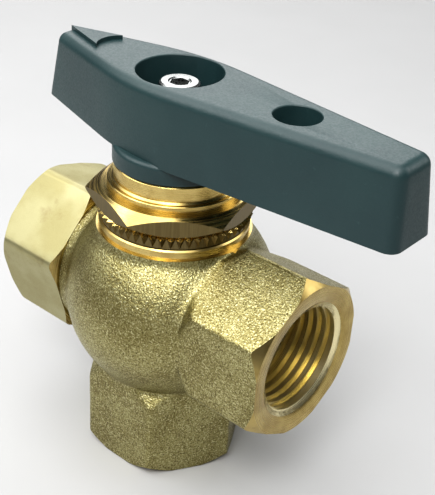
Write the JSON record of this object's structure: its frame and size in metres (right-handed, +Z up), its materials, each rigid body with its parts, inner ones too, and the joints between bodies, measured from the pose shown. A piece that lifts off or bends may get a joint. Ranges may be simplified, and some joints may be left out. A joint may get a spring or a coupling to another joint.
{
  "type": "three way ball valve",
  "caption": "Three way brass ball valve with hexagonal threaded ports, a hexagonal bonnet with a knurled lock ring, and a plastic lever with an arrow that shows the open port.",
  "frame": {"origin": "centre of the bottom port's end face, on the stem's axis", "axes": "+Z up along the stem; +X along the run, towards the right port in one piece with the body; the end connector is at -X"},
  "size_m": [0.0772, 0.0384, 0.0746],
  "materials": {
    "forged_brass": "forged and shot blasted, fine grain",
    "turned_brass": "turned, bright, with fine lathe marks",
    "handle_plastic": "moulded, satin, slate green",
    "steel": "zinc plated, bright",
    "ball_chrome": "polished chrome plate",
    "ptfe": "smooth, waxy white",
    "rubber": "black nitrile, satin"
  },
  "bodies": {
    "valve": {"body": "forged_brass", "end_connector": "turned_brass", "connector_seal": "rubber", "left_seat": "ptfe", "right_seat": "ptfe", "left_seat_o_ring": "rubber", "right_seat_o_ring": "rubber", "thrust_washer": "ptfe", "bonnet": "turned_brass", "bonnet_o_ring": "rubber", "lock_ring": "turned_brass", "stop_pin": "steel"},
    "lever": {"handle": "handle_plastic", "flat_washer": "steel", "spring_washer": "steel", "handle_screw": "steel", "stem": "turned_brass", "lower_stem_o_ring": "rubber", "upper_stem_o_ring": "rubber", "ball": "ball_chrome"}
  },
  "joints": [
    {"name": "lever_turn", "type": "hinge", "parent": "valve", "child": "lever", "pos_m": [0, 0, 0.0316], "axis": [0, 0, 1], "range_deg": [0, 180]}
  ]
}
